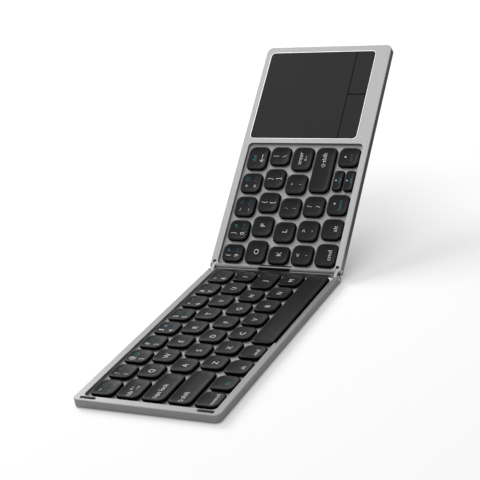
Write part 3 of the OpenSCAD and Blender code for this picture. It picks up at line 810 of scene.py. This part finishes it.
class KEYBOARD_OT_casing(bpy.types.Operator):
    """Finish the frames, covers, decks and boards"""

    bl_idname = "keyboard.casing"
    bl_label = "Casing"

    def execute(self, context):
        tint = colors()
        alloy = material("blasted_alloy", blasted_alloy, tint.alloy)
        deck = material("satin_deck", blasted_alloy, tint.deck, roughness=0.55, metallic=0.5)
        board = material("solder_mask", solder_mask, tint.board)
        finishes = {"frame": alloy, "cover": alloy, "deck": deck, "board": board}
        for side in SIDES:
            for part, finish in finishes.items():
                paint(f"{side}_{part}", finish)
        paint("touchpad_board", board)
        paint("battery", material("foil_pouch", foil_pouch, tint.foil))
        paint("charging_port", material("drawn_steel", brushed_metal, tint.steel))
        return {"FINISHED"}


def trim_rings(low, high, size):
    """A flat ring round the touchpad's window, which lies a gap outside the box of its glass: the
    corners of its section, (out from the window's edge, up from the rim), are each carried round
    the window. It stands as high over the rim as the printing and slopes down into the gap."""
    middle, (a, b) = plan(low, high)
    gap, corner, rise = size.pad_gap, size.pad_corner, size.ink
    drop = gap / 2
    section = ((size.trim, -drop), (size.trim, rise), (0.0, rise), (-drop, -drop), (-drop, -gap))
    rings = []
    for out, up in (*section, section[0]):
        ring = rounded_ring(a + gap + out, b + gap + out, corner + out)
        rings.append(lifted(ring + middle, BODY_T + up))
    return np.stack(rings)


def strip_rings(low, high, sheet):
    """A straight strip on the top of a box: its outline, carried from a sheet under the top to a
    sheet over it."""
    middle, (a, b) = plan(low, high)
    ring = rounded_ring(a, b, STRIP_CORNER * min(a, b), steps=2) + middle
    return np.stack([lifted(ring, high[2] - sheet), lifted(ring, high[2] + sheet)])


def dark_edge(name, body, slot, low, high):
    """A near-black strip on the top of a box that lies along an edge of the touchpad's glass:
    painted shade of the gap beside it.
    """
    finish = material("dark_edge", satin_plastic, colors().edge, roughness=0.9, specular=0.0)
    strip = Shell()
    strip.rings(strip_rings(low, high, sizes().ink))
    dress(strip.build(name, "right", [finish], sharp=CUT), body, slot)


class KEYBOARD_OT_touchpad(bpy.types.Operator):
    """Finish the touchpad's glass and its two buttons, with painted shade along the gaps at the
    buttons and a bright trim
    """

    bl_idname = "keyboard.touchpad"
    bl_label = "Touchpad"

    def execute(self, context):
        size, tint = sizes(), colors()
        nodes = ("touchpad_glass", "button_far", "button_near")
        for node in nodes:
            paint(node, material("frosted_glass", frosted_glass, tint.pad))
        boxes = [node_boxes(node, "right")[0] for node in nodes]
        lows, highs = zip(*boxes)
        cut = material("cut_trim", brushed_metal, tint.trim, roughness=0.25)
        ring = Shell()
        ring.rings(trim_rings(np.min(lows, 0), np.max(highs, 0), size), closed=False)
        dress(ring.build("touchpad_trim", "right", [cut], sharp=CUT), "right_half", "alloy")
        # Painted shade on the edges that the glass and the far button turn to the gaps round the
        # buttons
        (low, high), (far_low, far_high), _ = boxes
        end = (high[0], low[1] + size.pad_edge, high[2])
        dark_edge("glass_gap_shade", "right_half", "pad_glass", low, end)
        end = (far_low[0] + size.pad_edge, *far_high[1:])
        dark_edge("button_gap_shade", "button_far", "pad_button", far_low, end)
        return {"FINISHED"}


# ---- Hinge ----

PIN_SIDES = 32
PIN_CHAMFER = 0.2 * MM
PIN_DIMPLE = 0.12 * MM  # depth of the centre mark in a pin's end
DIMPLE_MOUTH = 0.42  # radius of its mouth, as a share of the pin's
DIMPLE_POINT = 0.05  # and of its bottom


def pin_rings(r, inner, outer):
    """A turned pin from its inner end to its outer one, along y: each stop is a circle of the
    pin's radius times a scale. It is chamfered at the outer end, with a shallow centre mark."""
    way = 1 if outer > inner else -1
    stops = (
        (inner, 1.0),
        (outer - way * PIN_CHAMFER, 1.0),
        (outer, 1 - PIN_CHAMFER / r),
        (outer, DIMPLE_MOUTH),
        (outer - way * PIN_DIMPLE, DIMPLE_POINT),
    )
    x, z = r * circle(full_turn(PIN_SIDES)).T
    rings = np.stack([np.column_stack([k * x, np.full(PIN_SIDES, y), k * z]) for y, k in stops])
    return rings[::-way]


class KEYBOARD_OT_hinge(bpy.types.Operator):
    """Make the hinge pins, and finish the spine, the links and the cable cover"""

    bl_idname = "keyboard.hinge"
    bl_label = "Hinge"

    def execute(self, context):
        tint = colors()
        paint("spine", material("dark_alloy", brushed_metal, tint.spine))
        paint("end_links", material("blasted_link", blasted_alloy, tint.link, roughness=0.5))
        paint("cable_cover", material("moulded_rubber", moulded_rubber, tint.rubber))
        polished = material("polished_pin", brushed_metal, tint.pin, roughness=0.16)
        for side in SIDES:
            shell = Shell()
            for low, high in node_boxes(f"{side}_pins", side, 1):
                r = (high[2] - low[2]) / 2
                inner, outer = sorted((low[1], high[1]), key=abs)
                shell.rings(pin_rings(r, inner, outer) + (0, 0, BODY_T / 2))
            piece = shell.build(f"turned_pins_{side}", side, [polished], sharp=CUT)
            dress(piece, f"{side}_half", "pin_steel", f"{side}_pins")
        return {"FINISHED"}


# ---- Feet, bumpers and screws ----

FOOT_CROWN = 0.25 * MM  # radius of a foot's round edge
BUMPER_CROWN = 0.3 * MM
PAD_STEPS = 9  # in each corner of a pad
CROWN_TURNS = np.linspace(0, math.pi / 2, 6)  # of the rings over a pad's edge
SCREW_SIDES = 36
HEAD_H = 0.4 * MM
HEAD_EDGE = 0.08 * MM  # chamfer round a screw's head
SHANK_R = 0.6 * MM
SOCKET_R = 0.55 * MM
SOCKET_DEPTH = 0.28 * MM
LOBES = 6
LOBE_SHARE = 0.14  # how far the lobes stand out, as a share of the socket's radius
PINPOINT = 0.02  # radius of the ring in the middle of the socket's floor, as such a share


def pad_rings(low, high, crown, up):
    """A soft-edged pad filling a box: straight sides, and a quarter-round edge on the side that up
    points to, in by crown * (1 - cos(turn)) and short of the end by crown * (1 - sin(turn))."""
    middle, (a, b) = plan(low, high)
    r = min(a, b) - HAIR
    base, tip = (low[2], high[2]) if up > 0 else (high[2], low[2])
    rings = [lifted(rounded_ring(a, b, r, PAD_STEPS) + middle, base)]
    for turn in CROWN_TURNS:
        inset = crown * (1 - math.cos(turn))
        ring = rounded_ring(a - inset, b - inset, r - inset, PAD_STEPS) + middle
        rings.append(lifted(ring, tip - up * crown * (1 - math.sin(turn))))
    return np.stack(rings)[::up]


def screw_rings(low, high):
    """A screw seen from its head: a flat head with a six-lobed socket, on a plain shank. The
    socket's radius at each turn is its mean times 1 + share * cos(lobes * turn)."""
    middle, (head_r, _) = plan(low, high)
    turns = full_turn(SCREW_SIDES)
    unit = circle(turns)
    lobed = SOCKET_R * unit * (1 + LOBE_SHARE * np.cos(LOBES * turns))[:, None]
    rings = (
        (PINPOINT * SOCKET_R * unit, SOCKET_DEPTH),
        (lobed, SOCKET_DEPTH),
        (lobed, 0.0),
        ((head_r - HEAD_EDGE) * unit, 0.0),
        (head_r * unit, HEAD_EDGE),
        (head_r * unit, HEAD_H),
        (SHANK_R * unit, HEAD_H),
        (SHANK_R * unit, high[2] - low[2]),
    )
    return np.stack([lifted(ring + middle, low[2] + z) for ring, z in rings])


class KEYBOARD_OT_underside(bpy.types.Operator):
    """Make the rubber feet, the bumpers and the cover screws"""

    bl_idname = "keyboard.underside"
    bl_label = "Underside"

    def execute(self, context):
        tint = colors()
        rubber = material("moulded_rubber", moulded_rubber, tint.rubber)
        steel = material("screw_steel", brushed_metal, tint.steel, roughness=0.3)
        for side in SIDES:
            feet, screws = Shell(), Shell()
            for low, high in node_boxes(f"{side}_feet", side, 0, 1):
                feet.rings(pad_rings(low, high, FOOT_CROWN, -1))
            for low, high in node_boxes(f"{side}_screws", side, 0, 1):
                screws.rings(screw_rings(low, high))
            body = f"{side}_half"
            piece = feet.build(f"soft_feet_{side}", side, [rubber], sharp=MOULDED)
            dress(piece, body, "rubber", f"{side}_feet")
            piece = screws.build(f"lobed_screws_{side}", side, [steel], sharp=CUT)
            dress(piece, body, "screw_steel", f"{side}_screws")
        bumpers = Shell()
        for low, high in node_boxes("left_bumpers", "left", 1):
            bumpers.rings(pad_rings(low, high, BUMPER_CROWN, 1))
        piece = bumpers.build("soft_bumpers", "left", [rubber], sharp=MOULDED)
        dress(piece, "left_half", "rubber", "left_bumpers")
        return {"FINISHED"}


# ---- Stage ----

FLOOR_SIDE = 12.0
FLOOR_GLOW = 0.22  # strength of its own light, where it is looked at
AMBIENT = 0.33  # strength of the world as a light
WORLD_SEEN = 1.0  # and where it is seen
# The dark card's ranges, which lie before the raised half's near side, and its height: it paints a
# dark reflection into that side
CARD_X = (0.05, 0.8)
CARD_Y = (-0.75, -0.06)
CARD_Z = 0.5 * MM
CARD_COLOR = (0.02, 0.02, 0.02)
LAMPS = {  # place and side in metres, power in watts
    "key_light": ((0.6, 1.25, 1.1), 0.9, 17),
    "top_light": ((-0.25, 0.15, 1.8), 1.6, 10),
}
CAMERA_FROM_PIN = (-0.6981, -0.3765, 0.3571)  # from the left pin, in metres
CAMERA_FORWARD = (0.8035, 0.4562, -0.3824)
CAMERA_UP = (0.4098, 0.0419, 0.9112)
CAMERA_LENS = 99.24  # in mm, as its sensor
CAMERA_SENSOR = 36.0
CAMERA_CLIP = (0.01, 50.0)


def seen_rays(tree, *kinds):
    """A value that is 1 for camera and transmitted rays and the other kinds, 0 for the rest."""
    path = tree.nodes.new("ShaderNodeLightPath")
    seen = path.outputs["Is Camera Ray"]
    for name in ("Is Transmission Ray", *kinds):
        either = tree.nodes.new("ShaderNodeMath")
        either.operation = "MAXIMUM"
        tree.links.new(seen, either.inputs[0])
        tree.links.new(path.outputs[name], either.inputs[1])
        seen = either.outputs[0]
    return seen


def studio_floor(color, glow):
    """A pale floor that keeps the object's shadow, lifted by a glow where it is looked at."""
    finish = Finish("studio_floor", color, roughness=0.9, Specular_IOR_Level=0.0)
    finish.tint(finish.noise(scale=3, detail=1.0), amount=0.004)
    lift = finish.spread(seen_rays(finish.tree), 0.0, glow, start=0.0, end=1.0)
    finish.link(lift, finish.shader.inputs["Emission Strength"])
    finish.shader.inputs["Emission Color"].default_value = (1, 1, 1, 1)
    return finish.material


def area_light(name, place, side, power):
    """A square lamp that points at the origin."""
    lamp = bpy.data.lights.new(name, "AREA")
    lamp.size, lamp.energy = side, power
    holder = bpy.data.objects.new(name, lamp)
    turn = (-Vector(place)).to_track_quat("-Z", "Y").to_matrix().to_4x4()
    holder.matrix_world = Matrix.Translation(place) @ turn
    bpy.context.scene.collection.objects.link(holder)


def studio_world(ambient, seen):
    """White where the camera, a glossy or a transmitted ray looks, and a dimmer ambient light."""
    world = bpy.data.worlds.new("studio")
    bpy.context.scene.world = world
    world.use_nodes = True
    tree = world.node_tree
    background = tree.nodes["Background"]
    spread = tree.nodes.new("ShaderNodeMapRange")
    spread.inputs["To Min"].default_value = ambient
    spread.inputs["To Max"].default_value = seen
    tree.links.new(seen_rays(tree, "Is Glossy Ray"), spread.inputs["Value"])
    tree.links.new(spread.outputs["Result"], background.inputs["Strength"])
    background.inputs["Color"].default_value = (1, 1, 1, 1)


def dark_card(x_range, y_range, height, color):
    """A dark card low over the floor, which only mirror-like surfaces see: a painted dark
    reflection in the sides that face it, met by no other ray.
    """
    (left, right), (near, far) = x_range, y_range
    corners = [(left, near), (right, near), (right, far), (left, far)]
    mesh = bpy.data.meshes.new("dark_card")
    mesh.from_pydata([(x, y, height) for x, y in corners], [], [range(4)])
    mesh.materials.append(printed_ink("card_black", color))
    card = bpy.data.objects.new("dark_card", mesh)
    card.visible_camera = card.visible_diffuse = card.visible_shadow = False
    card.visible_transmission = False
    bpy.context.scene.collection.objects.link(card)


def studio_camera():
    """A camera whose axes are its right, its up and the way back from what it looks at."""
    camera = bpy.data.cameras.new("camera")
    camera.lens = CAMERA_LENS
    camera.sensor_width = CAMERA_SENSOR
    camera.clip_start, camera.clip_end = CAMERA_CLIP
    holder = bpy.data.objects.new("camera", camera)
    forward = Vector(CAMERA_FORWARD).normalized()
    right = forward.cross(Vector(CAMERA_UP)).normalized()
    axes = Matrix((right, right.cross(forward), -forward)).transposed()
    place = Vector(PIN_LEFT) + Vector(CAMERA_FROM_PIN)
    holder.matrix_world = Matrix.Translation(place) @ axes.to_4x4()
    bpy.context.scene.collection.objects.link(holder)
    bpy.context.scene.camera = holder


class KEYBOARD_OT_stage(bpy.types.Operator):
    """Set up the floor, the lights and the camera"""

    bl_idname = "keyboard.stage"
    bl_label = "Stage"

    def execute(self, context):
        bpy.ops.mesh.primitive_plane_add(size=FLOOR_SIDE)
        floor = context.object
        floor.name = "studio_floor"
        floor.data.materials.append(studio_floor(colors().floor, FLOOR_GLOW))
        dark_card(CARD_X, CARD_Y, CARD_Z, CARD_COLOR)
        studio_world(AMBIENT, WORLD_SEEN)
        for name, (place, side, power) in LAMPS.items():
            area_light(name, place, side, power)
        studio_camera()
        context.scene.view_settings.view_transform = "Standard"
        return {"FINISHED"}


OPERATORS = (
    KEYBOARD_OT_casing,
    KEYBOARD_OT_touchpad,
    KEYBOARD_OT_hinge,
    KEYBOARD_OT_left_keys,
    KEYBOARD_OT_right_keys,
    KEYBOARD_OT_underside,
    KEYBOARD_OT_stage,
)


class KEYBOARD_PT_panel(bpy.types.Panel):
    """Lists the keyboard's pieces"""

    bl_idname = "KEYBOARD_PT_panel"
    bl_label = "Folding keyboard"
    bl_space_type = "VIEW_3D"
    bl_region_type = "UI"
    bl_category = "Keyboard"

    def draw(self, context):
        for operator in OPERATORS:
            self.layout.operator(operator.bl_idname)
        for group in (context.scene.keyboard_colors, context.scene.keyboard_sizes):
            for name in group.__annotations__:
                self.layout.prop(group, name)


CLASSES = (KeyboardColors, KeyboardSizes, *OPERATORS, KEYBOARD_PT_panel)


def register():
    for cls in CLASSES:
        bpy.utils.register_class(cls)
    bpy.types.Scene.keyboard_colors = PointerProperty(type=KeyboardColors)
    bpy.types.Scene.keyboard_sizes = PointerProperty(type=KeyboardSizes)


def unregister():
    del bpy.types.Scene.keyboard_sizes
    del bpy.types.Scene.keyboard_colors
    for cls in reversed(CLASSES):
        bpy.utils.unregister_class(cls)


def main():
    """Registers the classes and makes every piece in order."""
    register()
    for operator in OPERATORS:
        group, name = operator.bl_idname.split(".")
        getattr(getattr(bpy.ops, group), name)()


if __name__ == "__main__":
    main()
